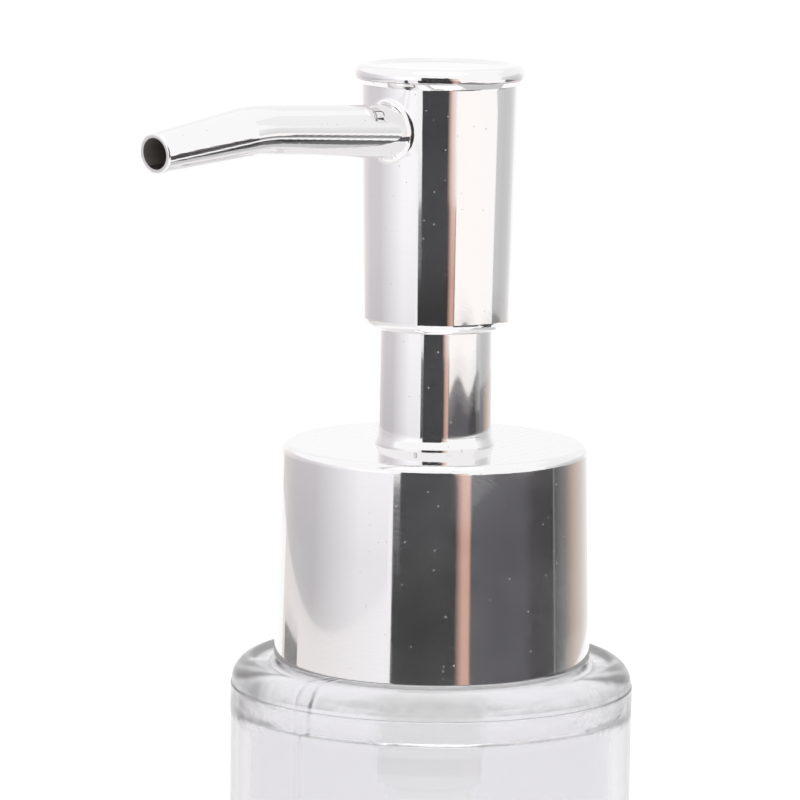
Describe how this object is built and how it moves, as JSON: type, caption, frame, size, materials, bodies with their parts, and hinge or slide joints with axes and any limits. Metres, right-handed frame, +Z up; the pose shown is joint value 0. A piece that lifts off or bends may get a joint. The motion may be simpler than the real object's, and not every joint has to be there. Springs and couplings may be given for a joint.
{
  "type": "soap pump dispenser",
  "caption": "Clear cylindrical bottle with a chromed screw closure, neck sleeve and spring-return pump head with a bent tapering spout.",
  "frame": {"origin": "centre of the flat base that the bottle stands on", "axes": "+Z up along the axis of the bottle and pump, -Y along the spout, X across it"},
  "size_m": [0.06, 0.0896, 0.1969],
  "materials": {
    "clear_plastic": "clear moulded plastic, polished",
    "chromed_plastic": "bright vacuum-chromed plastic",
    "white_plastic": "white moulded polypropylene",
    "natural_plastic": "milky natural polypropylene and polyethylene",
    "soft_gasket": "soft white foamed gasket",
    "spring_steel": "drawn stainless wire",
    "ball_steel": "polished stainless ball"
  },
  "bodies": {
    "bottle": {"bottle_body": "clear_plastic", "bottle_shoulder": "clear_plastic"},
    "pump": {"neck_gasket": "soft_gasket", "pump_housing": "natural_plastic", "dip_tube": "natural_plastic", "ball_retainer": "natural_plastic", "chaplet": "white_plastic", "stem_seal": "soft_gasket"},
    "closure": {"closure_shroud": "chromed_plastic", "closure_liner": "white_plastic", "neck_sleeve": "chromed_plastic"},
    "plunger": {"piston_rod": "white_plastic", "return_spring": "spring_steel"},
    "head": {"head_shell": "chromed_plastic", "head_cap": "chromed_plastic", "actuator_core": "white_plastic", "nozzle_liner": "natural_plastic", "stem": "white_plastic"},
    "piston": {"piston": "natural_plastic"},
    "ball": {"inlet_ball": "ball_steel"}
  },
  "joints": [
    {"name": "pump_lift", "type": "slide", "parent": "bottle", "child": "pump", "axis": [0, 0, 1], "range_m": [0, 0.0064]},
    {"name": "closure_turn", "type": "hinge", "parent": "pump", "child": "closure", "pos_m": [0, 0, 0.1243], "axis": [0, 0, 1], "range_deg": [0, 540]},
    {"name": "head_press", "type": "slide", "parent": "pump", "child": "plunger", "axis": [0, 0, -1], "range_m": [0, 0.016], "stiffness_N_per_m": 700, "springref_m": -0.012, "deforming": ["return_spring"]},
    {"name": "head_swivel", "type": "hinge", "parent": "plunger", "child": "head", "pos_m": [0, 0, 0.1769], "axis": [0, 0, 1], "continuous": true},
    {"name": "piston_slip", "type": "slide", "parent": "plunger", "child": "piston", "axis": [0, 0, 1], "range_m": [0, 0.0012]},
    {"name": "ball_lift", "type": "slide", "parent": "pump", "child": "ball", "axis": [0, 0, 1], "range_m": [0, 0.0015]}
  ],
  "couplings": [
    {"joint": "pump_lift", "follows": "closure_turn", "m_per_rad": 0.00067376}
  ]
}
